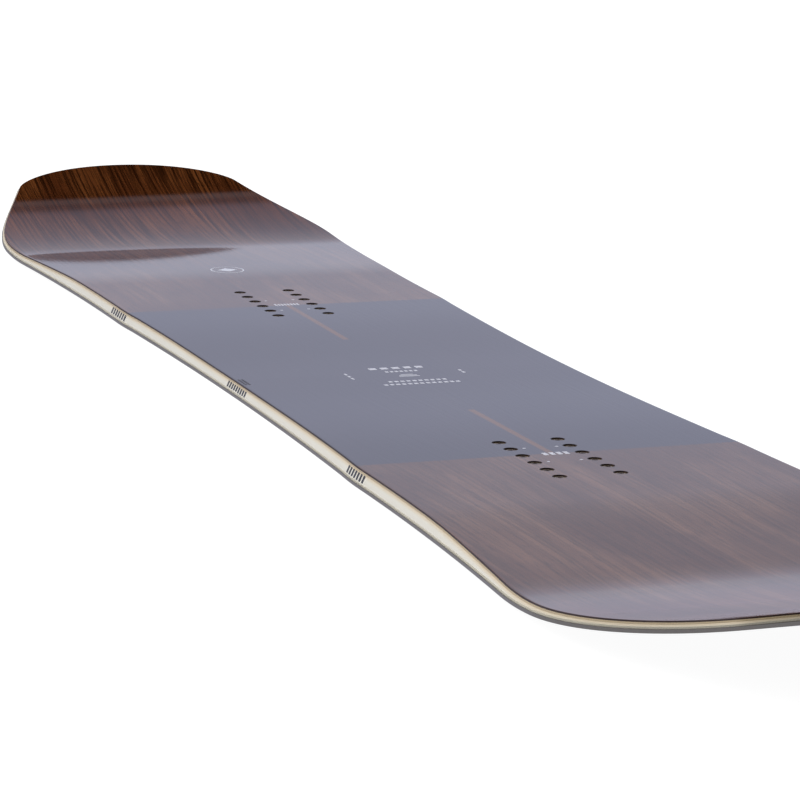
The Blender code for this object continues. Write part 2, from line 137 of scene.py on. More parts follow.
class LayUp(bpy.types.PropertyGroup):
    topsheet: length_property("Topsheet", "Thickness of the veneer with its coat", 0.0009)
    upper_laminate: length_property("Upper laminate", "Thickness of the glass over the core", 0.0010)
    lower_laminate: length_property("Lower laminate", "Thickness of the glass over the edges", 0.0010)
    base: length_property("Base", "Thickness of the running base", 0.0013)
    edge_height: length_property("Edge height", "Height of the steel edge", 0.0022)
    edge_width: length_property("Edge width", "Width of the steel edge", 0.0022)
    edge_chamfer: length_property("Edge chamfer", "Broken corner of the steel edge", 0.00015, 5)
    setback: length_property("Setback", "Step in from the edge's face to the sidewall", 0.0006, 5)
    sidewall_width: length_property("Sidewall width", "Width of the sidewall strip", 0.009)
    sidewall_angle: angle_property("Sidewall angle", "Slant of the sidewall", 24)
    top_round: length_property("Top rounding", "Softened upper edge of the topsheet", 0.0006, 5)


class Sockets(bpy.types.PropertyGroup):
    stance: length_property(
        "Stance", "Centre to centre of the packs", FIRST_SOCKET_BOX[0].x + LAST_SOCKET_BOX[1].x
    )
    rows: length_property("Rows", "Distance between the two rows", 0.040)
    pitch: length_property("Pitch", "Distance between two sockets", 0.020)
    in_row: IntProperty(name="In row", description="Sockets in a row", default=6, min=2)
    hole_radius: length_property("Hole radius", "Radius of the hole in the topsheet", 0.0041)
    mouth_radius: length_property("Mouth radius", "Radius of its countersunk mouth", 0.0047)
    bore_radius: length_property("Bore radius", "Crest radius of the thread's wall", 0.0030)
    thread_pitch: length_property("Thread pitch", "Rise of the thread in one turn", 0.001)
    thread_depth: length_property("Thread depth", "Depth of the thread", 0.0005, 5)
    barrel_radius: length_property("Barrel radius", "Outer radius of the barrel", 0.004)
    flange_radius: length_property("Flange radius", "Radius of the foot flange", 0.008)


class DeckFinish(bpy.types.PropertyGroup):
    stain_dark: hex_property("Dark stain", "Stained late wood", "#301C12")
    stain_mid: hex_property("Stain", "Stained early wood", "#55372A")
    stain_light: hex_property("Light stain", "Palest flames of the veneer", "#745340")
    pore: hex_property("Pores", "Stain gathered in the pores", "#1C0F09")
    # Painted shade: this tint darkens the wood towards the raised nose.
    nose_shade_tint: hex_property("Amber tone", "Painted shade tinting the raised nose darker and more amber", "#FFD090")
    slate: hex_property("Slate paint", "Painted middle panel", "#2A3042")
    stripe: hex_property("Stripe", "Stripe between the bindings", "#6B4A34")
    ink: hex_property("Ink", "Printed marks on the deck", "#D9DAE0")
    dark_ink: hex_property("Dark ink", "Dark prints on the deck and the rim", "#0E0F12")
    panel_half: length_property("Panel half-length", "Middle to the end of the panel", 0.2685)
    stripe_start: length_property("Stripe start", "Middle to the start of a stripe", 0.128)
    stripe_width: length_property("Stripe width", "Width of a stripe", 0.0045)


class RimFinish(bpy.types.PropertyGroup):
    cream: hex_property("Cream", "Sidewall plastic", "#DBD8CC")
    tan: hex_property("Tan", "Resin stain at the sidewall's upper edge", "#CDB78F")
    amber: hex_property("Amber", "Edge of the upper laminate", "#B8A686")
    steel: hex_property("Steel", "Ground steel edge", "#8C897C")
    base: hex_property("Base", "Sintered base", "#121316")


class Studio(bpy.types.PropertyGroup):
    eye: FloatVectorProperty(
        name="Eye", description="Place of the camera", default=(-2.0818, 0.7570, 0.4536), unit="LENGTH"
    )
    aim: FloatVectorProperty(
        name="Aim",
        description="Point on the deck in mid-picture",
        default=(-0.0920, 0.0369, 0.0115),
        unit="LENGTH",
    )
    roll: angle_property("Roll", "Turn of the camera about its view", 0.9986)
    lens: FloatProperty(name="Lens", description="Focal length", default=145.75, unit="CAMERA")
    room_light: FloatProperty(
        name="Room light", description="Even light from all round", default=0.40, min=0.0
    )
    sun: FloatProperty(name="Sun", description="Strength of the broad key light", default=3.4, min=0.0)
    ceiling: hex_property("Ceiling", "Dim ceiling above the light sweep", "#16130F")


# The light sweep that the gloss coat mirrors: degrees above the horizon, and colour.
SWEEP = (
    (0, "#C5C4D8"),
    (6, "#D8DCF3"),
    (9.2, "#DAE0F6"),
    (11, "#CCCEE4"),
    (13.5, "#C0C1D3"),
    (20, "#B7B7CC"),
    (30, "#B2A8BB"),
    (31.4, "#A9A0B4"),
    (32.9, "#7F7682"),
    (33.9, "#786E79"),
    (34.7, "#89838C"),
    (35.7, "#89838C"),
)
SWEEP_END = 36.4
KEY_HEADING = Vector((-0.78, -0.38, -0.50))  # way the key light shines
KEY_SPREAD = math.radians(70)
FLOOR_REACH = 30.0
FLOOR_DROP = 0.0002  # floor below the base
FLOOR_GLOW = 0.95


# Colour and node helpers.


def srgb(code):
    """Linear colour with alpha from an sRGB hex value."""
    values = [int(code[i : i + 2], 16) / 255 for i in (1, 3, 5)]
    linear = [v / 12.92 if v <= 0.04045 else ((v + 0.055) / 1.055) ** 2.4 for v in values]
    return (*linear, 1.0)


def link_sockets(tree, made, links):
    """Links a node's sockets from other sockets, or from other nodes' first outputs in use."""
    for socket, source in links.items():
        if isinstance(source, bpy.types.Node):
            source = next(output for output in source.outputs if output.enabled)
        tree.links.new(source, made.inputs[socket])


def add_node(tree, kind, settings=None, values=None, links=None):
    """Adds a node, sets its options and unlinked sockets, and links the others."""
    made = tree.nodes.new(kind)
    for name, value in (settings or {}).items():
        setattr(made, name, value)
    for socket, value in (values or {}).items():
        made.inputs[socket].default_value = value
    link_sockets(tree, made, links or {})
    return made


def new_material(name, values):
    """A material with its Principled shader set, and its tree and shader for more."""
    made = bpy.data.materials.new(name)
    made.use_nodes = True
    shader = made.node_tree.nodes["Principled BSDF"]
    for socket, value in values.items():
        shader.inputs[socket].default_value = value
    return made, made.node_tree, shader


FACTOR, COLOUR_A, COLOUR_B = 0, 6, 7  # sockets of a Mix node for colours
# Kinds of node with their options.
MIX = ("ShaderNodeMix", {"data_type": "RGBA"})
TINT = ("ShaderNodeMix", {"data_type": "RGBA", "blend_type": "MULTIPLY"})
RANGE = ("ShaderNodeMapRange", {})
SMOOTH_RANGE = ("ShaderNodeMapRange", {"interpolation_type": "SMOOTHSTEP"})
NOISE = ("ShaderNodeTexNoise", {})
BUMP = ("ShaderNodeBump", {})
STRETCH = ("ShaderNodeVectorMath", {"operation": "MULTIPLY"})
MINUS = ("ShaderNodeMath", {"operation": "SUBTRACT"})
TIMES = ("ShaderNodeMath", {"operation": "MULTIPLY"})
TIMES_PLUS = ("ShaderNodeMath", {"operation": "MULTIPLY_ADD"})
SIZE_OF = ("ShaderNodeMath", {"operation": "ABSOLUTE"})
LESS = ("ShaderNodeMath", {"operation": "LESS_THAN"})
MORE = ("ShaderNodeMath", {"operation": "GREATER_THAN"})


def span(low, high, to_low=0.0, to_high=1.0):
    """Sockets of a Map Range node."""
    return {"From Min": low, "From Max": high, "To Min": to_low, "To Max": to_high}


# Shape of the board.


def smoothstep(low, high, value):
    share = np.clip((value - low) / (high - low), 0.0, 1.0)
    return share * share * (3 - 2 * share)


def sidecut(shape, grip_centre, widest, x):
    radius = shape.sidecut_radius
    middle = shape.waist / 2 + x * x / (2 * radius)
    grip_width = shape.waist / 2 + grip_centre**2 / (2 * radius) + shape.grip_bump
    share = np.maximum(x - grip_centre, 0.0) / (widest - grip_centre)
    turn = shape.sidecut_turn
    rise = np.where(share < turn, share**2 / turn, 1 - (1 - share) ** 2 / (1 - turn))
    outer = grip_width + (shape.tip_width / 2 - grip_width) * rise
    blend = smoothstep(grip_centre - shape.grip_blend, grip_centre + shape.grip_blend, x)
    return middle + (outer - middle) * blend


def resample(x, y, step):
    """The same line with points at even steps, up to but not including its end."""
    run = np.concatenate([[0.0], np.cumsum(np.hypot(np.diff(x), np.diff(y)))])
    places = np.linspace(0.0, run[-1], round(run[-1] / step) + 1)[:-1]
    return np.interp(places, run, x), np.interp(places, run, y)


def curve(points, steps):
    """Points of a cubic curve from its two ends and two handles."""
    share = np.linspace(0.0, 1.0, steps)[:, None]
    left = 1 - share
    start, leave, meet, end = (np.array(point) for point in points)
    return left**3 * start + 3 * left * left * share * leave + 3 * left * share**2 * meet + share**3 * end


FINE = 3000  # points of a curve before it is cut to even steps


def nose_outline(shape, widest):
    """Fine points of the nose's left half, past its shoulder to the tip: along, half-width."""
    run, fall = math.cos(shape.shoulder_slant), math.sin(shape.shoulder_slant)
    along, across = widest + shape.shoulder_along, shape.shoulder_width / 2
    back, on = shape.shoulder_pull_back, shape.shoulder_pull_on
    widest_half = shape.tip_width / 2
    to_shoulder = curve(
        [
            (widest, widest_half),
            (widest + shape.widest_pull, widest_half),
            (along - back * run, across + back * fall),
            (along, across),
        ],
        FINE,
    )
    tip = shape.length / 2
    to_tip = curve(
        [(along, across), (along + on * run, across - on * fall), (tip, shape.tip_pull), (tip, 0.0)], FINE
    )
    return np.concatenate([to_shoulder, to_tip[1:]]).T


class Rail:
    """Left rail from tail tip to nose tip: places, half-widths and outward directions."""

    def __init__(self, shape, stance):
        widest = shape.length / 2 - shape.nose_length
        grip_centre = stance / 2 - shape.grip_blend / 2
        body = np.linspace(0.0, widest, FINE)
        body_x, body_w = resample(body, sidecut(shape, grip_centre, widest, body), shape.body_step)
        nose_x, nose_w = resample(*nose_outline(shape, widest), shape.nose_step)
        x = np.concatenate([body_x, nose_x, [shape.length / 2]])
        w = np.concatenate([body_w, nose_w, [SEAM]])
        self.x = np.concatenate([-x[:0:-1], x])
        self.w = np.concatenate([w[:0:-1], w])
        run_x, run_w = np.gradient(self.x), np.gradient(self.w)
        size = np.hypot(run_x, run_w)
        self.out_x, self.out_y = -run_w / size, run_x / size
        self.out_x[0], self.out_x[-1] = -1.0, 1.0
        self.out_y[0] = self.out_y[-1] = 0.0
        self.run = np.concatenate([[0.0], np.cumsum(np.hypot(np.diff(self.x), np.diff(self.w)))])

    def stretch(self, low, high):
        """The part of the rail between two places along the board."""
        part = object.__new__(Rail)
        inside = (self.x > low) & (self.x < high)
        for name in ("x", "w", "out_x", "out_y", "run"):
            values = getattr(self, name)
            ends = [np.interp(end, self.x, values) for end in (low, high)]
            keep = [[ends[0]], values[inside], [ends[1]]]
            if low <= self.x[0]:
                keep[0] = [values[0]]
            if high >= self.x[-1]:
                keep[2] = [values[-1]]
            setattr(part, name, np.concatenate(keep))
        return part

    def points(self, inset, level):
        """Points this far inside the rail, at the heights that level gives."""
        x = self.x - self.out_x * inset
        y = np.maximum(self.w - self.out_y * inset, SEAM)
        return np.stack([x, y, level(x)], axis=-1)


TAPER_REACH = 0.03  # way to each side over which a kink of the taper is drawn out
TAPER_SAMPLES = 13
PACK_RISE = (0.03, 0.22)  # where the board grows from its middle to its pack thickness


class Profile:
    """Heights of the base and deck along the board, and the slant of the rim."""

    def __init__(self, shape, layers):
        self.shape, self.layers = shape, layers
        self.kick_start = shape.length / 2 - shape.kick_length
        self.widest = shape.length / 2 - shape.nose_length

    def base(self, x):
        x = np.abs(x)
        kick = np.clip(x - self.kick_start, 0.0, self.shape.kick_length)
        arc = self.shape.kick_radius - np.sqrt(self.shape.kick_radius**2 - kick**2)
        return self.shape.rocker * (x / (self.shape.length / 2)) ** 2 + arc

    def thickness(self, x):
        """Thickness, with the two kinks of the taper drawn out over a short way."""
        shape, total = self.shape, 0.0
        for shift in np.linspace(-TAPER_REACH, TAPER_REACH, TAPER_SAMPLES):
            place = np.abs(x) + shift
            rise = smoothstep(*PACK_RISE, place)
            fall = np.clip((place - shape.taper_start) / shape.taper_length, 0.0, 1.0)
            middle, pack, tip = shape.middle_thickness, shape.pack_thickness, shape.tip_thickness
            total = total + middle + (pack - middle) * rise - (pack - tip) * fall
        return total / TAPER_SAMPLES

    def above(self, height):
        return lambda x: self.base(x) + height

    def below(self, depth):
        return lambda x: self.base(x) + self.thickness(x) - depth

    def slant(self, x, level):
        """How far the slanted rim stands inside the rail at a level."""
        rise = level(x) - self.base(x) - self.layers.edge_height
        return self.layers.setback + rise * math.tan(self.layers.sidewall_angle)


def shape_of(context):
    scene = context.scene
    profile = Profile(scene.board_shape, scene.board_layers)
    return Rail(scene.board_shape, scene.board_sockets.stance), profile


# Meshes.


def new_mesh(name, vertices, faces):
    mesh = bpy.data.meshes.new(name)
    mesh.from_pydata(vertices, [], faces)
    return mesh


def face_outwards(mesh):
    """The closed mesh, with its faces turned outwards."""
    builder = bmesh.new()
    builder.from_mesh(mesh)
    bmesh.ops.recalc_face_normals(builder, faces=builder.faces)
    builder.to_mesh(mesh)
    builder.free()
    return mesh


def add_attribute(mesh, label, values):
    """A number at each vertex, for a material to read."""
    attribute = mesh.attributes.new(label, "FLOAT", "POINT")
    attribute.data.foreach_set("value", values.astype(np.float32))


def finish_mesh(name, mesh, materials, nodes, sharp=SHARP_ANGLE):
    """A finished piece at the origin that rides on the board and stands for its CAD nodes."""
    mesh.shade_smooth()
    mesh.set_sharp_from_angle(angle=sharp)
    mesh.materials.clear()
    for made in materials:
        mesh.materials.append(made)
    piece = bpy.data.objects.new(name, mesh)
    bpy.context.scene.collection.objects.link(piece)
    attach(piece, BODY)
    if nodes:
        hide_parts(*nodes)
    return piece


def loft(name, sections, run):
    """Closed mesh through the sections, a list of (stations, 3) lines that go round it."""
    rings = np.stack(sections, axis=1)
    stations, around = rings.shape[:2]
    grid = np.arange(stations * around).reshape(stations, around)
    turned = np.roll(grid, -1, axis=1)
    quads = np.stack([grid[:-1], turned[:-1], turned[1:], grid[1:]], axis=-1)
    faces = quads.reshape(-1, 4).tolist()
    faces += [grid[0][::-1].tolist(), grid[-1].tolist()]
    mesh = new_mesh(name, rings.reshape(-1, 3).tolist(), faces)
    steps = np.linalg.norm(np.diff(rings, axis=1), axis=-1)
    girth = np.concatenate([np.zeros((stations, 1)), np.cumsum(steps, axis=1)], axis=1)
    add_attribute(mesh, "run", np.repeat(run, around))
    add_attribute(mesh, "girth", girth.ravel())
    return face_outwards(mesh)


def mirrored(line):
    return line * np.array([1.0, -1.0, 1.0])


def plate(name, half, run):
    """A plate from rail to rail, from the lines of its left half, bottom to top."""
    return loft(name, half + [mirrored(line) for line in reversed(half)], run)


def strip(name, side, lines, run):
    return loft(name, [line * np.array([1.0, SIDES[side], 1.0]) for line in lines], run)


def rounded_corner(rail, profile, radius, steps=4):
    """Lines round the topsheet's upper edge, from its slanted side to its flat top."""
    angle = profile.layers.sidewall_angle
    reach = radius / math.tan((math.pi / 2 + angle) / 2)
    corner = profile.slant(rail.x, profile.below(0.0))
    start = np.array([-reach * math.sin(angle), reach * math.cos(angle)])
    end = np.array([reach, 0.0])
    lines = []
    for share in np.linspace(0.0, 1.0, steps + 1):
        inward, depth = (1 - share) ** 2 * start + share**2 * end
        lines.append(rail.points(corner + inward, profile.below(depth)))
    return lines


def slanted_face(rail, profile, low, high, chamfer=0.00006):
    """Lines of a layer's slanted face, with its two corners just broken."""
    bottom, top = profile.slant(rail.x, low), profile.slant(rail.x, high)
    return [
        rail.points(bottom + chamfer, low),
        rail.points(bottom, lambda x: low(x) + chamfer),
        rail.points(top, lambda x: high(x) - chamfer),
        rail.points(top + chamfer, high),
    ]


def turned(name, profile, segments):
    """Mesh turned about Z from (radius, height) points; a thread adds its depth and pitch."""
    vertices, rows = [], []
    for radius, height, *thread in profile:
        if radius == 0.0:
            rows.append([len(vertices)])
            vertices.append((0.0, 0.0, height))
            continue
        depth, pitch = thread or (0.0, 1.0)
        rows.append([])
        for i in range(segments):
            angle = 2 * math.pi * i / segments
            phase = (height / pitch + i / segments) % 1.0 if depth else 0.0
            here = radius + depth * (1 - abs(2 * phase - 1))
            rows[-1].append(len(vertices))
            vertices.append((here * math.cos(angle), here * math.sin(angle), height))
    faces = []
    for low, high in zip(rows, rows[1:]):
        for i in range(segments):
            j = (i + 1) % segments
            corners = [low[i % len(low)], low[j % len(low)], high[j % len(high)], high[i % len(high)]]
            faces.append(list(dict.fromkeys(corners)))
    return face_outwards(new_mesh(name, vertices, faces))


# Geometry Nodes: whatever repeats over the two binding packs.


def pack_grid_tree():
    """Repeats its input on a grid of points in both packs, tilted with the deck there."""
    tree = bpy.data.node_groups.new("pack_grid", "GeometryNodeTree")
    face = tree.interface
    face.new_socket("Geometry", in_out="INPUT", socket_type="NodeSocketGeometry")
    for label in ("Stance", "Row distance", "Pitch", "Seat height", "Tilt"):
        face.new_socket(label, in_out="INPUT", socket_type="NodeSocketFloat")
    for label in ("Rows", "In row"):
        face.new_socket(label, in_out="INPUT", socket_type="NodeSocketInt")
    face.new_socket("Material", in_out="INPUT", socket_type="NodeSocketMaterial")
    face.new_socket("Geometry", in_out="OUTPUT", socket_type="NodeSocketGeometry")
    given = add_node(tree, "NodeGroupInput").outputs
    sides = []
    for count, step in (("In row", "Pitch"), ("Rows", "Row distance")):
        gaps = add_node(tree, *MINUS, {1: 1.0}, {0: given[count]})
        sides.append(add_node(tree, *TIMES, {}, {0: gaps, 1: given[step]}))
    lengths = {"Size X": sides[0], "Size Y": sides[1]}
    counts = {"Vertices X": given["In row"], "Vertices Y": given["Rows"]}
    grid = add_node(tree, "GeometryNodeMeshGrid", links=lengths | counts)
    sources = {"Points": grid, "Instance": given["Geometry"]}
    repeated = add_node(tree, "GeometryNodeInstanceOnPoints", links=sources)
    joined = add_node(tree, "GeometryNodeJoinGeometry")
    for sign in TIPS.values():
        out = add_node(tree, *TIMES, {1: sign / 2}, {0: given["Stance"]})
        turn = add_node(tree, *TIMES, {1: -sign}, {0: given["Tilt"]})
        place = add_node(tree, "ShaderNodeCombineXYZ", links={"X": out, "Z": given["Seat height"]})
        angles = add_node(tree, "ShaderNodeCombineXYZ", links={"Y": turn})
        rotation = add_node(tree, "FunctionNodeEulerToRotation", links={0: angles})
        sources = {"Geometry": repeated, "Translation": place, "Rotation": rotation}
        link_sockets(tree, joined, {0: add_node(tree, "GeometryNodeTransform", links=sources)})
    real = add_node(tree, "GeometryNodeRealizeInstances", links={0: joined})
    sources = {"Geometry": real, "Material": given["Material"]}
    dressed = add_node(tree, "GeometryNodeSetMaterial", links=sources)
    add_node(tree, "NodeGroupOutput", links={0: dressed})
    return tree


def repeat_over_packs(name, mesh, settings, made):
    """The mesh repeated over both packs, as one plain mesh."""
    tree = bpy.data.node_groups.get("pack_grid") or pack_grid_tree()
    holder = bpy.data.objects.new(name, mesh)
    bpy.context.scene.collection.objects.link(holder)
    modifier = holder.modifiers.new("pack_grid", "NODES")
    modifier.node_group = tree
    names = {s.name: s.identifier for s in tree.interface.items_tree if s.in_out == "INPUT"}
    for label, value in {**settings, "Material": made}.items():
        modifier[names[label]] = value
    bpy.context.view_layer.update()
    graph = bpy.context.evaluated_depsgraph_get()
    result = bpy.data.meshes.new_from_object(holder.evaluated_get(graph))
    bpy.data.objects.remove(holder)
    result.name = name
    return result


PACK_HALF = 0.05  # half the length of a pack


def pack_settings(context):
    """What the pack grid is given to put something at each socket."""
    scene = context.scene
    sockets, profile = scene.board_sockets, Profile(scene.board_shape, scene.board_layers)
    centre, reach = sockets.stance / 2, PACK_HALF
    slope = (profile.base(centre + reach) - profile.base(centre - reach)) / (2 * reach)
    return {
        "Stance": sockets.stance,
        "Row distance": sockets.rows,
        "Pitch": sockets.pitch,
        "Seat height": float(profile.base(centre)),
        "Tilt": math.atan(float(slope)),
        "Rows": 2,
        "In row": sockets.in_row,
    }


DRILL_DEPTH = 0.003


def drill(context, mesh):
    """Cuts the countersunk socket holes out of a layer's mesh."""
    sockets, deck = context.scene.board_sockets, context.scene.board_shape.pack_thickness
    mouth = sockets.mouth_radius - sockets.hole_radius
    reach = 0.001
    profile = [
        (0.0, deck - DRILL_DEPTH),
        (sockets.hole_radius, deck - DRILL_DEPTH),
        (sockets.hole_radius, deck - mouth),
        (sockets.mouth_radius + reach, deck + reach),
        (0.0, deck + reach),
    ]
    bit = turned("socket_hole", profile, 40)
    cutter_mesh = repeat_over_packs("socket_holes", bit, pack_settings(context), None)
    cutter = bpy.data.objects.new("socket_holes", cutter_mesh)
    target = bpy.data.objects.new("drilled_layer", mesh)
    for made in (cutter, target):
        context.scene.collection.objects.link(made)
    cut = target.modifiers.new("holes", "BOOLEAN")
    cut.object = cutter
    cut.solver = "EXACT"
    context.view_layer.update()
    graph = context.evaluated_depsgraph_get()
    drilled = bpy.data.meshes.new_from_object(target.evaluated_get(graph))
    for made in (cutter, target):
        bpy.data.objects.remove(made)
    drilled.name = mesh.name
    return drilled


# Materials. Lengths along the board are from its middle, in metres.

RINGS_PER_METRE = 52.0
QUARTER_CUT = (0.30, 0.66)
# Span along the board over which the painted shade of the raised nose fades in.
NOSE_SHADE_SPAN = (0.50, 0.72)
RESIN_STAIN = 0.0024  # how far down the sidewall the resin shows


def surface_point(tree):
    """Distance along a piece and round its section, for marks that follow it."""
    run = add_node(tree, "ShaderNodeAttribute", {"attribute_name": "run"}).outputs["Fac"]
    girth = add_node(tree, "ShaderNodeAttribute", {"attribute_name": "girth"}).outputs["Fac"]
    return add_node(tree, "ShaderNodeCombineXYZ", links={"X": run, "Y": girth})


def drawn_out(tree, point, per_metre, detail, roughness=0.5):
    """Soft noise with this many spots in a metre along each axis."""
    at = add_node(tree, *STRETCH, {1: per_metre}, {0: point})
    values = {"Scale": 1.0, "Detail": detail, "Roughness": roughness}
    return add_node(tree, *NOISE, values, {"Vector": at})


def two_tone_material(name, values, light, dark, pattern):
    """A material whose colour goes from light to dark with what pattern(tree, point) returns."""
    made, tree, shader = new_material(name, values)
    source = pattern(tree, add_node(tree, "ShaderNodeTexCoord").outputs["Object"])
    colour = add_node(tree, *MIX, {COLOUR_A: srgb(light), COLOUR_B: srgb(dark)}, {FACTOR: source})
    link_sockets(tree, shader, {"Base Color": colour})
    return made, tree, shader, source


def wood_grain(tree, point):
    """Plain-sliced grain along X: nodes for rings, fibres, pores and cloudy figure, 0 to 1."""
    axes = add_node(tree, "ShaderNodeSeparateXYZ", links={0: point}).outputs
    # The fibres sway by about 15 mm along the board.
    sway = drawn_out(tree, point, (1.6, 4.0, 1.0), 2.0)
    swayed = add_node(tree, *TIMES_PLUS, {1: 0.045}, {0: sway, 2: axes["Y"]})
    # The sheet drifts in and out of the log's pith over about half a metre: closed flames.
    drift = drawn_out(tree, point, (1.1, 0.6, 1.0), 3.0, 0.4)
    depth = add_node(tree, *TIMES_PLUS, {1: 0.34, 2: -0.15}, {0: drift})
    flat = add_node(tree, "ShaderNodeCombineXYZ", links={"X": swayed, "Y": depth})
    radius = add_node(tree, "ShaderNodeVectorMath", {"operation": "LENGTH"}, links={0: flat})
    # Growth rings cut at a shallow slant: bands about 20 mm apart, soft on both sides.
    turns = add_node(tree, *TIMES, {1: RINGS_PER_METRE}, {0: radius.outputs["Value"]})
    ring = add_node(tree, "ShaderNodeMath", {"operation": "FRACT"}, links={0: turns})
    ring_up = add_node(tree, *SMOOTH_RANGE, span(0.0, 0.6, 0.5, 1.0), {"Value": ring})
    ring_down = add_node(tree, *SMOOTH_RANGE, span(0.72, 1.0, 1.0, 0.5), {"Value": ring})
    along = add_node(tree, "ShaderNodeCombineXYZ", links={"X": axes["X"], "Y": swayed, "Z": axes["Z"]})
    # Fibre streaks 2 mm wide and 150 mm long, pores 0.8 mm by 15 mm, and a cloudy figure.
    return {
        "rings": add_node(tree, *TIMES, {}, {0: ring_up, 1: ring_down}),
        "fibres": drawn_out(tree, along, (7.0, 420.0, 1.0), 4.0),
        "pores": drawn_out(tree, along, (55.0, 1150.0, 1.0), 2.0),
        "figure": drawn_out(tree, along, (5.5, 14.0, 1.0), 5.0),
    }


def veneer_material(finish):
    """Stained ash veneer with a painted panel, under a poured and polished gloss coat.

    The stain gathers in the open pores, and the coat gives a clear mirror over it.
    """
    coat = {"Coat Weight": 1.0, "Coat Roughness": 0.045, "Coat IOR": 1.5}
    made, tree, shader = new_material(
        "stained_ash_veneer_gloss_coat", {"Roughness": 0.6, "Specular IOR Level": 0.0, **coat}
    )
    point = add_node(tree, "ShaderNodeTexCoord").outputs["Object"]
    axes = add_node(tree, "ShaderNodeSeparateXYZ", links={0: point}).outputs
    grain = wood_grain(tree, point)
    warm = add_node(tree, *RANGE, span(0.44, 0.58), {"Value": grain["figure"]})
    flame = add_node(tree, *TIMES, {}, {0: warm, 1: grain["rings"]})
    stains = {COLOUR_A: srgb(finish.stain_mid), COLOUR_B: srgb(finish.stain_light)}
    ground = add_node(tree, *MIX, stains, {FACTOR: flame})
    # Towards the nose the sheet was cut nearer the quarter, and its dark lines are stronger.
    quarter = add_node(tree, *SMOOTH_RANGE, span(*QUARTER_CUT, 0.50, 1.0), {"Value": axes["X"]})
    lines = add_node(tree, *RANGE, span(0.42, 0.60), {"Value": grain["fibres"]})
    streak = add_node(tree, *TIMES, {}, {0: lines, 1: quarter})
    dark = {COLOUR_B: srgb(finish.stain_dark)}
    streaked = add_node(tree, *MIX, dark, {FACTOR: streak, COLOUR_A: ground})
    open_pore = add_node(tree, *RANGE, span(0.56, 0.68, 0.0, 0.6), {"Value": grain["pores"]})
    pore = {COLOUR_B: srgb(finish.pore)}
    wood = add_node(tree, *MIX, pore, {FACTOR: open_pore, COLOUR_A: streaked})
    # The wood is tinted darker and more amber towards the raised nose: painted shade, where the nose turns
    # away from the light.
    nose_shade_share = add_node(tree, *SMOOTH_RANGE, span(*NOSE_SHADE_SPAN), {"Value": axes["X"]})
    tone = {COLOUR_B: srgb(finish.nose_shade_tint)}
    amber = add_node(tree, *TINT, tone, {FACTOR: nose_shade_share, COLOUR_A: wood})
    # The paint lets a trace of the grain through.
    paint = {FACTOR: 0.06, COLOUR_A: srgb(finish.slate)}
    trace = add_node(tree, *MIX, paint, {COLOUR_B: wood})
    away = add_node(tree, *SIZE_OF, links={0: axes["X"]})
    aside = add_node(tree, *SIZE_OF, links={0: axes["Y"]})
    painted = add_node(tree, *LESS, {1: finish.panel_half}, {0: away})
    beyond = add_node(tree, *MORE, {1: finish.stripe_start}, {0: away})
    within = add_node(tree, *LESS, {1: finish.stripe_width / 2}, {0: aside})
    stripe = add_node(tree, *TIMES, {}, {0: beyond, 1: within})
    band = {COLOUR_B: srgb(finish.stripe)}
    striped = add_node(tree, *MIX, band, {FACTOR: stripe, COLOUR_A: trace})
    deck = add_node(tree, *MIX, {}, {FACTOR: painted, COLOUR_A: amber, COLOUR_B: striped})
    # The coat has sunk a few microns along the fibres.
    sunk = add_node(tree, *BUMP, {"Strength": 0.35, "Distance": 0.00006}, {"Height": grain["fibres"]})
    link_sockets(tree, shader, {"Base Color": deck, "Coat Normal": sunk, "Normal": sunk})
    return made


def laminate_material(name, light, dark):
    """Glass cloth in epoxy, sanded flush: amber resin with a faint weave of bands."""

    def weave(tree, point):
        values = {"Scale": 320.0, "Distortion": 1.0, "Detail": 1.0}
        options = {"bands_direction": "DIAGONAL"}
        bands = add_node(tree, "ShaderNodeTexWave", options, values, {"Vector": point})
        return bands.outputs["Fac"]

    return two_tone_material(name, {"Roughness": 0.38, "Specular IOR Level": 0.5}, dark, light, weave)[0]


def sidewall_material(finish):
    """Moulded ABS strip, milled to its slant and wiped with resin at its upper edge.

    Fine cutter marks run along it, and the tan resin fades out over two millimetres.
    """
    coat = {"Coat Weight": 0.15, "Coat Roughness": 0.25}
    made, tree, shader = new_material(
        "milled_cream_abs", {"Roughness": 0.42, "Specular IOR Level": 0.45, **coat}
    )
    depth = add_node(tree, "ShaderNodeAttribute", {"attribute_name": "depth"}).outputs["Fac"]
    stained = add_node(tree, *SMOOTH_RANGE, span(0.0, RESIN_STAIN, 0.7, 0.0), {"Value": depth})
    spots = {"Scale": 18.0, "Detail": 3.0}
    point = add_node(tree, "ShaderNodeTexCoord").outputs["Object"]
    mottle = add_node(tree, *NOISE, spots, {"Vector": point})
    creams = {COLOUR_A: srgb(finish.cream), COLOUR_B: srgb("#D3CEC2")}
    body = add_node(tree, *MIX, creams, {FACTOR: mottle})
    resin = {COLOUR_B: srgb(finish.tan)}
    colour = add_node(tree, *MIX, resin, {FACTOR: stained, COLOUR_A: body})
    # Cutter marks about 0.3 mm apart, drawn out along the strip.
    marks = drawn_out(tree, surface_point(tree), (30.0, 3200.0, 1.0), 2.0)
    bump = add_node(tree, *BUMP, {"Strength": 0.25, "Distance": 0.00003}, {"Height": marks})
    link_sockets(tree, shader, {"Base Color": colour, "Normal": bump})
    return made


def steel_material(name, code, marks_per_metre, roughness):
    """Hardened steel, ground and polished along its length: long thin scratches."""
    made, tree, shader = new_material(
        name, {"Base Color": srgb(code), "Metallic": 1.0, "Roughness": roughness}
    )
    marks = drawn_out(tree, surface_point(tree), (45.0, marks_per_metre, 1.0), 3.0)
    dull = span(0.35, 0.65, roughness - 0.08, roughness + 0.14)
    rough = add_node(tree, *RANGE, dull, {"Value": marks})
    bump = add_node(tree, *BUMP, {"Strength": 0.3, "Distance": 0.00002}, {"Height": marks})
    link_sockets(tree, shader, {"Roughness": rough, "Normal": bump})
    return made


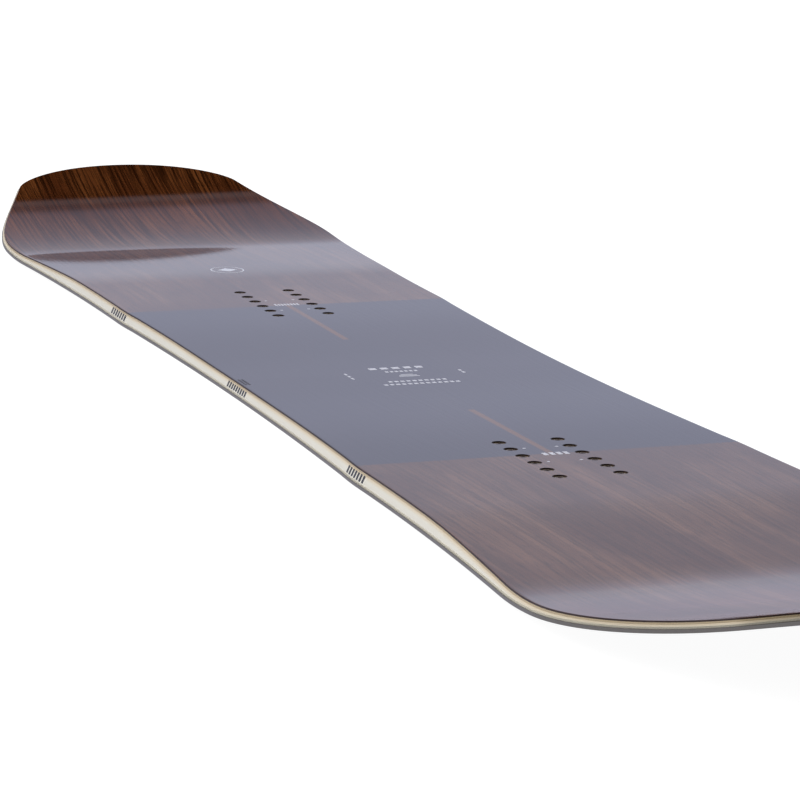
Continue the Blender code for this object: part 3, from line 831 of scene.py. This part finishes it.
def base_material(finish):
    """Sintered polyethylene with a stone-ground structure and a trace of wax."""

    def grooves(tree, point):
        return drawn_out(tree, point, (9.0, 1400.0, 1.0), 3.0)

    values = {"Roughness": 0.42, "Specular IOR Level": 0.5}
    made, tree, shader, lines = two_tone_material(
        "stone_ground_polyethylene", values, finish.base, "#1D1F24", grooves
    )
    point = add_node(tree, "ShaderNodeTexCoord").outputs["Object"]
    wax = add_node(tree, *NOISE, {"Scale": 7.0, "Detail": 4.0}, {"Vector": point})
    rough = add_node(tree, *RANGE, span(0.0, 1.0, 0.28, 0.55), {"Value": wax})
    bump = add_node(tree, *BUMP, {"Strength": 0.4, "Distance": 0.00004}, {"Height": lines})
    link_sockets(tree, shader, {"Roughness": rough, "Normal": bump})
    return made


def core_wood_material(name, light, dark):
    """Planed core strip: plain pale timber with straight grain, unsealed."""

    def streaks(tree, point):
        fibres = wood_grain(tree, point)["fibres"]
        return add_node(tree, *RANGE, span(0.35, 0.65), {"Value": fibres})

    values = {"Roughness": 0.65, "Specular IOR Level": 0.25}
    return two_tone_material(name, values, light, dark, streaks)[0]


def plain_noise_material(name, light, dark, scale, values):
    """A surface that only varies a little in tone, such as ink, rubber or plaster."""

    def spots(tree, point):
        return add_node(tree, *NOISE, {"Scale": scale, "Detail": 3.0}, {"Vector": point})

    return two_tone_material(name, values, light, dark, spots)[0]


# Operators, one for each piece or group of like pieces.

DECK_FACING = 0.8  # faces that look up less than this are the topsheet's cut edge


class SNOWBOARD_OT_topsheet(bpy.types.Operator):
    """Veneer topsheet with rounded rim and countersunk socket holes"""

    bl_idname = "snowboard.topsheet"
    bl_label = "Topsheet"

    def execute(self, context):
        rail, profile = shape_of(context)
        layers, finish = context.scene.board_layers, context.scene.board_deck
        under = profile.below(layers.topsheet)
        foot = profile.slant(rail.x, under)
        corner = rounded_corner(rail, profile, layers.top_round)
        flat = profile.slant(rail.x, profile.below(0.0)) + RIM
        half = [rail.points(foot + RIM, under), rail.points(foot, under)]
        half += corner + [rail.points(flat, profile.below(0.0))]
        mesh = drill(context, plate("veneer_topsheet", half, rail.run))
        # The cut edge is end grain, soaked dark with stain and resin and sealed.
        cut = plain_noise_material(
            "sealed_veneer_edge", "#17100D", "#3A261B", 240.0, {"Roughness": 0.45, "Specular IOR Level": 0.4}
        )
        materials = [veneer_material(finish), cut]
        piece = finish_mesh("veneer_topsheet", mesh, materials, ["topsheet"])
        for face in piece.data.polygons:
            if face.normal.z < DECK_FACING:
                face.material_index = 1
        return {"FINISHED"}


class SNOWBOARD_OT_laminates(bpy.types.Operator):
    """Upper and lower glass laminates"""

    bl_idname = "snowboard.laminates"
    bl_label = "Laminates"

    def execute(self, context):
        rail, profile = shape_of(context)
        layers, finish = context.scene.board_layers, context.scene.board_rim
        top = profile.below(layers.topsheet + SEAM)
        under = profile.below(layers.topsheet + layers.upper_laminate)
        half = slanted_face(rail, profile, under, top)
        half = [rail.points(profile.slant(rail.x, under) + RIM, under)] + half
        half += [rail.points(profile.slant(rail.x, top) + RIM, top)]
        mesh = drill(context, plate("upper_glass_laminate", half, rail.run))
        amber = laminate_material("upper_glass_laminate", finish.amber, "#A18D6C")
        finish_mesh("upper_glass_laminate", mesh, [amber], ["upper_laminate"])
        low = profile.above(layers.edge_height + SEAM)
        high = profile.above(layers.edge_height + layers.lower_laminate)
        half = [
            rail.points(layers.setback + RIM, low),
            rail.points(layers.setback, low),
            rail.points(layers.setback, high),
            rail.points(layers.setback + RIM, high),
        ]
        mesh = plate("lower_glass_laminate", half, rail.run)
        pale = laminate_material("lower_glass_laminate", "#D2CDBD", "#C4BDA8")
        finish_mesh("lower_glass_laminate", mesh, [pale], ["lower_laminate"])
        return {"FINISHED"}


def add_depth(mesh, profile):
    """Depth below the deck's upper side, as an attribute for the resin stain."""
    places = np.zeros(len(mesh.vertices) * 3)
    mesh.vertices.foreach_get("co", places)
    x, _, z = places.reshape(-1, 3).T
    layers = profile.layers
    add_attribute(mesh, "depth", profile.below(layers.topsheet + layers.upper_laminate)(x) - z)


class SNOWBOARD_OT_sidewalls(bpy.types.Operator):
    """Cream sidewalls and the spacers that carry them round the tips"""

    bl_idname = "snowboard.sidewalls"
    bl_label = "Sidewalls"

    def execute(self, context):
        rail, profile = shape_of(context)
        layers = context.scene.board_layers
        cream = sidewall_material(context.scene.board_rim)
        low = profile.above(layers.edge_height + layers.lower_laminate + SEAM)
        high = profile.below(layers.topsheet + layers.upper_laminate + SEAM)
        joint = SIDEWALL_BOX[1].x
        middle = rail.stretch(-joint, joint)
        for side in SIDES:
            lines = slanted_face(middle, profile, low, high)
            lines += [middle.points(layers.sidewall_width, high), middle.points(layers.sidewall_width, low)]
            mesh = strip(f"cream_sidewall_{side}", side, lines, middle.run)
            add_depth(mesh, profile)
            finish_mesh(f"cream_sidewall_{side}", mesh, [cream], [f"sidewall_{side}"])
        for tip, sign in TIPS.items():
            start = joint + SEAM
            ends = (start, rail.x[-1]) if sign > 0 else (rail.x[0], -start)
            part = rail.stretch(*ends)
            half = [part.points(profile.slant(part.x, low) + RIM, low)]
            half += slanted_face(part, profile, low, high)
            half += [part.points(profile.slant(part.x, high) + RIM, high)]
            mesh = plate(f"cream_{tip}_spacer", half, part.run)
            add_depth(mesh, profile)
            finish_mesh(f"cream_{tip}_spacer", mesh, [cream], [f"{tip}_spacer"])
        return {"FINISHED"}


class SNOWBOARD_OT_edges(bpy.types.Operator):
    """Ground steel edges round the whole board"""

    bl_idname = "snowboard.edges"
    bl_label = "Steel edges"

    def execute(self, context):
        rail, profile = shape_of(context)
        layers = context.scene.board_layers
        steel = steel_material("ground_edge_steel", context.scene.board_rim.steel, 9000.0, 0.26)
        height, width, broken = layers.edge_height, layers.edge_width, layers.edge_chamfer
        section = [
            (width, 0.0),
            (broken, 0.0),
            (0.0, broken),
            (0.0, height - broken),
            (broken, height),
            (width, height),
        ]
        for side in SIDES:
            lines = [rail.points(inset, profile.above(level)) for inset, level in section]
            mesh = strip(f"ground_edge_{side}", side, lines, rail.run)
            finish_mesh(f"ground_edge_{side}", mesh, [steel], [f"steel_edge_{side}"])
        return {"FINISHED"}


class SNOWBOARD_OT_base(bpy.types.Operator):
    """Running base between the edges"""

    bl_idname = "snowboard.base"
    bl_label = "Base"

    def execute(self, context):
        rail, profile = shape_of(context)
        layers = context.scene.board_layers
        inset = layers.edge_width + SEAM
        floor, top = profile.above(0.0), profile.above(layers.base)
        half = [rail.points(inset, floor), rail.points(inset, top)]
        half = [rail.points(inset + RIM, floor)] + half + [rail.points(inset + RIM, top)]
        mesh = plate("running_base", half, rail.run)
        finish_mesh("running_base", mesh, [base_material(context.scene.board_rim)], BASE_NODES)
        return {"FINISHED"}


class SNOWBOARD_OT_core(bpy.types.Operator):
    """Finishes of the pieces that stay hidden in the lay-up"""

    bl_idname = "snowboard.core"
    bl_label = "Core and foils"

    def execute(self, context):
        poplar = core_wood_material("planed_poplar", "#CDB489", "#B4966A")
        beech = core_wood_material("planed_beech", "#B98F63", "#976D45")
        rubber = plain_noise_material(
            "calendered_rubber_foil", "#17171A", "#222226", 90.0, {"Roughness": 0.85}
        )
        finishes = {"core_strip": poplar, "insert_block": beech, "rubber_foil": rubber}
        for name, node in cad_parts.items():
            for start, made in finishes.items():
                if name.startswith(start):
                    node.data.materials.clear()
                    node.data.materials.append(made)
        return {"FINISHED"}


class SNOWBOARD_OT_inserts(bpy.types.Operator):
    """Threaded steel inserts in both packs"""

    bl_idname = "snowboard.inserts"
    bl_label = "Threaded inserts"

    def execute(self, context):
        scene = context.scene
        sockets, layers = scene.board_sockets, scene.board_layers
        foot = FIRST_SOCKET_BOX[0].z - pack_settings(context)["Seat height"] + 0.0003
        head = scene.board_shape.pack_thickness - layers.topsheet - 0.0001
        broken, floor = 0.0002, foot + 0.001
        crest, depth, pitch = sockets.bore_radius, sockets.thread_depth, sockets.thread_pitch
        lead_in = head - depth
        barrel = sockets.barrel_radius - broken
        profile = [
            (0.0, foot),
            (sockets.flange_radius, foot),
            (sockets.flange_radius, foot + 0.0011),
            (barrel, foot + 0.0012),
            (barrel, head - broken),
            (sockets.barrel_radius - 2 * broken, head),
            (crest + depth * 0.6, head),
            (crest, lead_in),
        ]
        wall = np.linspace(lead_in - pitch / 8, floor + pitch / 4, round((lead_in - floor) / pitch * 6))
        profile += [(crest - depth, float(height), depth, pitch) for height in wall]
        profile += [(crest - depth, floor), (0.0, floor - 0.0004)]
        steel = steel_material("turned_stainless_steel", "#F0EADC", 5000.0, 0.50)
        one = turned("threaded_insert", profile, 32)
        mesh = repeat_over_packs("threaded_inserts", one, pack_settings(context), steel)
        nodes = sorted(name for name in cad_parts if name.startswith(("insert_nose", "insert_tail")))
        finish_mesh("threaded_inserts", mesh, [steel], nodes)
        return {"FINISHED"}


FILM = 0.00005  # how far a print stands proud
DOT_RADIUS = 0.0011
DOT_CENTRE = 0.270
DOT_GRID = {"Stance": 2 * DOT_CENTRE, "Row distance": 0.022, "Pitch": 0.040, "In row": 2}
# Rows of blocks on the deck: along, across, length, whole width and count.
DECK_ROWS = [
    (0.0205, 0.0, 0.0062, 0.0430, 5),
    (0.0085, 0.0, 0.0040, 0.0250, 7),
    (-0.0250, 0.0, 0.0040, 0.0440, 10),
    (-0.0345, 0.0, 0.0040, 0.0570, 13),
    (0.2715, 0.0, 0.0070, 0.0200, 8),
    (-0.2690, -0.0025, 0.0070, 0.0190, 4),
]
DECK_ROWS += [(along, 0.0415, 0.0050, 0.0028, 1) for along in (0.0070, -0.0005, -0.0080)]
DECK_ROWS += [(along, -0.0415, 0.0045, 0.0032, 1) for along in (0.0020, -0.0050)]
# Three short bars across the middle: along and width.
SLEEPERS = ((-0.0030, 0.0090), (-0.0060, 0.0130), (-0.0090, 0.0150))
SLEEPER_LENGTH = 0.0016
RAIL_ROW = (0.0, 0.1175, 0.0190, 0.0050, 2)
BLOCK_SHARE = 0.62  # of a step that a deck block fills
# Emblem: its centre along the board, the ring's half-axes and width, and the lozenge's.
EMBLEM_CENTRE, RING_AXES, RING_WIDTH, LOZENGE = 0.4315, (0.0155, 0.0137), 0.0011, (0.0075, 0.0085)
RING_STEPS = 72
# Rows of blocks on the left sidewall: centre along the board, length and count.
RIM_ROWS = ((0.2865, 0.040, 7), (-0.0020, 0.044, 9), (-0.2720, 0.036, 7))
RIM_FOOT, RIM_HEAD = 0.0016, 0.0013  # from the steel edge and from the topsheet
BOX_FACES = ((3, 2, 1, 0), (4, 5, 6, 7), (0, 1, 5, 4), (1, 2, 6, 5), (2, 3, 7, 6), (3, 0, 4, 7))


class SNOWBOARD_OT_marks(bpy.types.Operator):
    """Plain printed marks: stance dots and neutral bars"""

    bl_idname = "snowboard.marks"
    bl_label = "Printed marks"

    def execute(self, context):
        shape, finish = context.scene.board_shape, context.scene.board_deck
        ink = plain_noise_material(
            "screen_print_ink", finish.ink, "#C4C5CC", 900.0, {"Roughness": 0.3, "Coat Weight": 1.0}
        )
        dark = plain_noise_material(
            "dark_screen_print_ink", finish.dark_ink, "#15161A", 900.0, {"Roughness": 0.35}
        )
        profile = Profile(shape, context.scene.board_layers)
        deck = shape.pack_thickness
        corners = [(0.0, deck), (DOT_RADIUS, deck), (DOT_RADIUS, deck + FILM), (0.0, deck + FILM)]
        seat = {"Seat height": float(profile.base(DOT_CENTRE))}
        settings = pack_settings(context) | DOT_GRID | seat
        mesh = repeat_over_packs("stance_dots", turned("stance_dot", corners, 20), settings, ink)
        finish_mesh("stance_dots", mesh, [ink], [])
        bars = [bar for row in DECK_ROWS for bar in self.dashes(*row)]
        bars += [(along, 0.0, SLEEPER_LENGTH, width) for along, width in SLEEPERS]
        self.bars("deck_bars", bars, profile, ink)
        self.bars("rail_bars", self.dashes(*RAIL_ROW), profile, dark)
        self.emblem(profile, ink)
        self.rim_prints(context, dark)
        return {"FINISHED"}

    def dashes(self, along, across, length, width, count):
        """A row of equal blocks with gaps between them, in place of one long bar."""
        step = width / count
        first = across - width / 2 + step / 2
        return [(along, first + i * step, length, step * BLOCK_SHARE) for i in range(count)]

    def bars(self, name, bars, profile, made):
        """Thin printed bars on the deck, each (along, across, length, width), as one mesh."""
        vertices, faces = [], []
        for along, across, length, width in bars:
            faces += [[len(vertices) + i for i in corners] for corners in BOX_FACES]
            for lift in (0.0, FILM):
                for dx, dy in ((-1, -1), (1, -1), (1, 1), (-1, 1)):
                    x = along + dx * length / 2
                    z = float(profile.below(0.0)(x)) + lift
                    vertices.append((x, across + dy * width / 2, z))
        finish_mesh(name, new_mesh(name, vertices, faces), [made], [])

    def emblem(self, profile, made):
        """A plain ring with a lozenge in it, printed on the nose half."""
        angles = np.linspace(0.0, 2 * math.pi, RING_STEPS, endpoint=False)
        around = np.stack([np.cos(angles), np.sin(angles)], axis=-1)
        axes = np.array(RING_AXES)
        long, wide = LOZENGE
        lozenge = [(long, 0.0), (0.0, wide), (-long, 0.0), (0.0, -wide)]
        flat = np.concatenate([around * axes, around * (axes - RING_WIDTH), lozenge])
        flat += (EMBLEM_CENTRE, 0.0)
        height = profile.below(0.0)(flat[:, 0])
        layers = [np.column_stack([flat, height + lift]) for lift in (0.0, FILM)]
        # From one outline to the next: outer and inner side of the ring, and upper layer.
        inner, first, upper = RING_STEPS, 2 * RING_STEPS, len(flat)
        faces = []
        for i in range(RING_STEPS):
            j = (i + 1) % RING_STEPS
            faces.append([upper + k for k in (i, j, inner + j, inner + i)])
            faces.append([inner + i, inner + j, j, i])
            faces.append([i, j, upper + j, upper + i])
            faces.append([upper + inner + i, upper + inner + j, inner + j, inner + i])
        faces.append([upper + first + i for i in range(4)])
        faces.append([first + i for i in range(3, -1, -1)])
        for i in range(4):
            j = (i + 1) % 4
            faces.append([first + i, first + j, upper + first + j, upper + first + i])
        mesh = new_mesh("emblem_ring", np.concatenate(layers).tolist(), faces)
        finish_mesh("emblem_ring", mesh, [made], [])

    def rim_prints(self, context, made):
        """Dark blocks printed on the left sidewall, in three places along it."""
        rail, profile = shape_of(context)
        layers = context.scene.board_layers
        low = profile.above(layers.edge_height + RIM_FOOT)
        high = profile.below(layers.topsheet + RIM_HEAD)
        for number, (centre, length, count) in enumerate(RIM_ROWS):
            step = length / count
            for i in range(count):
                middle = centre - length / 2 + (i + 0.5) * step
                part = rail.stretch(middle - 0.3 * step, middle + 0.3 * step)
                outer, inner = profile.slant(part.x, low), profile.slant(part.x, high)
                lines = [part.points(outer + lift, low) for lift in (FILM, -FILM)]
                lines += [part.points(inner + lift, high) for lift in (-FILM, FILM)]
                name = f"rim_print_{number + 1}_{i + 1}"
                finish_mesh(name, strip(name, "left", lines, part.run), [made], [])


class SNOWBOARD_OT_stage(bpy.types.Operator):
    """Pale floor, soft light and the camera"""

    bl_idname = "snowboard.stage"
    bl_label = "Studio"

    def execute(self, context):
        studio = context.scene.board_studio
        self.floor()
        self.world(context, studio)
        self.sun(context, studio)
        self.camera(context, studio)
        context.scene.view_settings.view_transform = "Standard"
        return {"FINISHED"}

    def floor(self):
        """White paper floor; a share of its own light keeps the shadow on it pale."""
        signs = ((-1, -1), (1, -1), (1, 1), (-1, 1))
        corners = [(x * FLOOR_REACH, y * FLOOR_REACH, 0.0) for x, y in signs]
        mesh = new_mesh("studio_floor", corners, [(0, 1, 2, 3)])
        floor = bpy.data.objects.new("studio_floor", mesh)
        floor.location.z = CAD_BOUNDS[0][2] - FLOOR_DROP
        bpy.context.scene.collection.objects.link(floor)
        matt = {"Roughness": 1.0, "Specular IOR Level": 0.0}
        glow = {"Emission Color": (1.0, 1.0, 1.0, 1.0), "Emission Strength": FLOOR_GLOW}
        paper = plain_noise_material("matt_backdrop_paper", "#808080", "#7C7C7C", 1.5, matt | glow)
        mesh.materials.append(paper)
        floor.visible_diffuse = False
        floor.visible_glossy = False

    def world(self, context, studio):
        """White to the eye, even neutral light on matt surfaces, and the sweep in the gloss."""
        world = bpy.data.worlds.new("studio")
        context.scene.world = world
        world.use_nodes = True
        tree = world.node_tree
        ray = add_node(tree, "ShaderNodeTexCoord").outputs["Generated"]
        up = add_node(tree, "ShaderNodeSeparateXYZ", links={0: ray}).outputs["Z"]
        sweep = add_node(tree, "ShaderNodeValToRGB", links={0: up})
        stops = [(angle, srgb(code)) for angle, code in SWEEP]
        stops.append((SWEEP_END, srgb(studio.ceiling)))
        ramp = sweep.color_ramp.elements
        while len(ramp) < len(stops):
            ramp.new(1.0)
        for stop, (angle, colour) in zip(ramp, stops):
            stop.position = math.sin(math.radians(angle))
            stop.color = colour
        path = add_node(tree, "ShaderNodeLightPath").outputs
        even = studio.room_light
        seen = {FACTOR: path["Is Glossy Ray"], COLOUR_B: sweep}
        mirrored = add_node(tree, *MIX, {COLOUR_A: (even, even, even, 1.0)}, seen)
        seen = {FACTOR: path["Is Camera Ray"], COLOUR_A: mirrored}
        shown = add_node(tree, *MIX, {COLOUR_B: (1.0, 1.0, 1.0, 1.0)}, seen)
        link_sockets(tree, tree.nodes["Background"], {"Color": shown})

    def sun(self, context, studio):
        """A broad low key light past the nose, on the left."""
        data = bpy.data.lights.new("broad_key", "SUN")
        data.energy = studio.sun
        data.angle = KEY_SPREAD
        light = bpy.data.objects.new("broad_key", data)
        light.rotation_euler = KEY_HEADING.to_track_quat("-Z", "Y").to_euler()
        light.visible_glossy = False
        context.scene.collection.objects.link(light)

    def camera(self, context, studio):
        data = bpy.data.cameras.new("camera")
        data.lens = studio.lens
        data.sensor_width = 36.0
        data.clip_end = 50.0
        camera = bpy.data.objects.new("camera", data)
        context.scene.collection.objects.link(camera)
        view = Vector(studio.aim) - Vector(studio.eye)
        turn = view.to_track_quat("-Z", "Y") @ Quaternion((0.0, 0.0, 1.0), studio.roll)
        camera.location = studio.eye
        camera.rotation_euler = turn.to_euler()
        context.scene.camera = camera


class SNOWBOARD_PT_panel(bpy.types.Panel):
    """Lists the snowboard's operators"""

    bl_label = "Snowboard"
    bl_idname = "SNOWBOARD_PT_panel"
    bl_space_type = "VIEW_3D"
    bl_region_type = "UI"
    bl_category = "Snowboard"

    def draw(self, context):
        for operator in OPERATORS:
            self.layout.operator(operator.bl_idname)


GROUPS = {
    "board_shape": BoardShape,
    "board_layers": LayUp,
    "board_sockets": Sockets,
    "board_deck": DeckFinish,
    "board_rim": RimFinish,
    "board_studio": Studio,
}
OPERATORS = (
    SNOWBOARD_OT_topsheet,
    SNOWBOARD_OT_laminates,
    SNOWBOARD_OT_sidewalls,
    SNOWBOARD_OT_edges,
    SNOWBOARD_OT_base,
    SNOWBOARD_OT_core,
    SNOWBOARD_OT_inserts,
    SNOWBOARD_OT_marks,
    SNOWBOARD_OT_stage,
)


def register():
    for group in (*GROUPS.values(), *OPERATORS, SNOWBOARD_PT_panel):
        bpy.utils.register_class(group)
    for name, group in GROUPS.items():
        setattr(bpy.types.Scene, name, PointerProperty(type=group))


def unregister():
    for name in GROUPS:
        delattr(bpy.types.Scene, name)
    for group in (SNOWBOARD_PT_panel, *reversed(OPERATORS), *GROUPS.values()):
        bpy.utils.unregister_class(group)


def main():
    register()
    bpy.ops.snowboard.topsheet()
    bpy.ops.snowboard.laminates()
    bpy.ops.snowboard.sidewalls()
    bpy.ops.snowboard.edges()
    bpy.ops.snowboard.base()
    bpy.ops.snowboard.core()
    bpy.ops.snowboard.inserts()
    bpy.ops.snowboard.marks()
    bpy.ops.snowboard.stage()


if __name__ == "__main__":
    main()
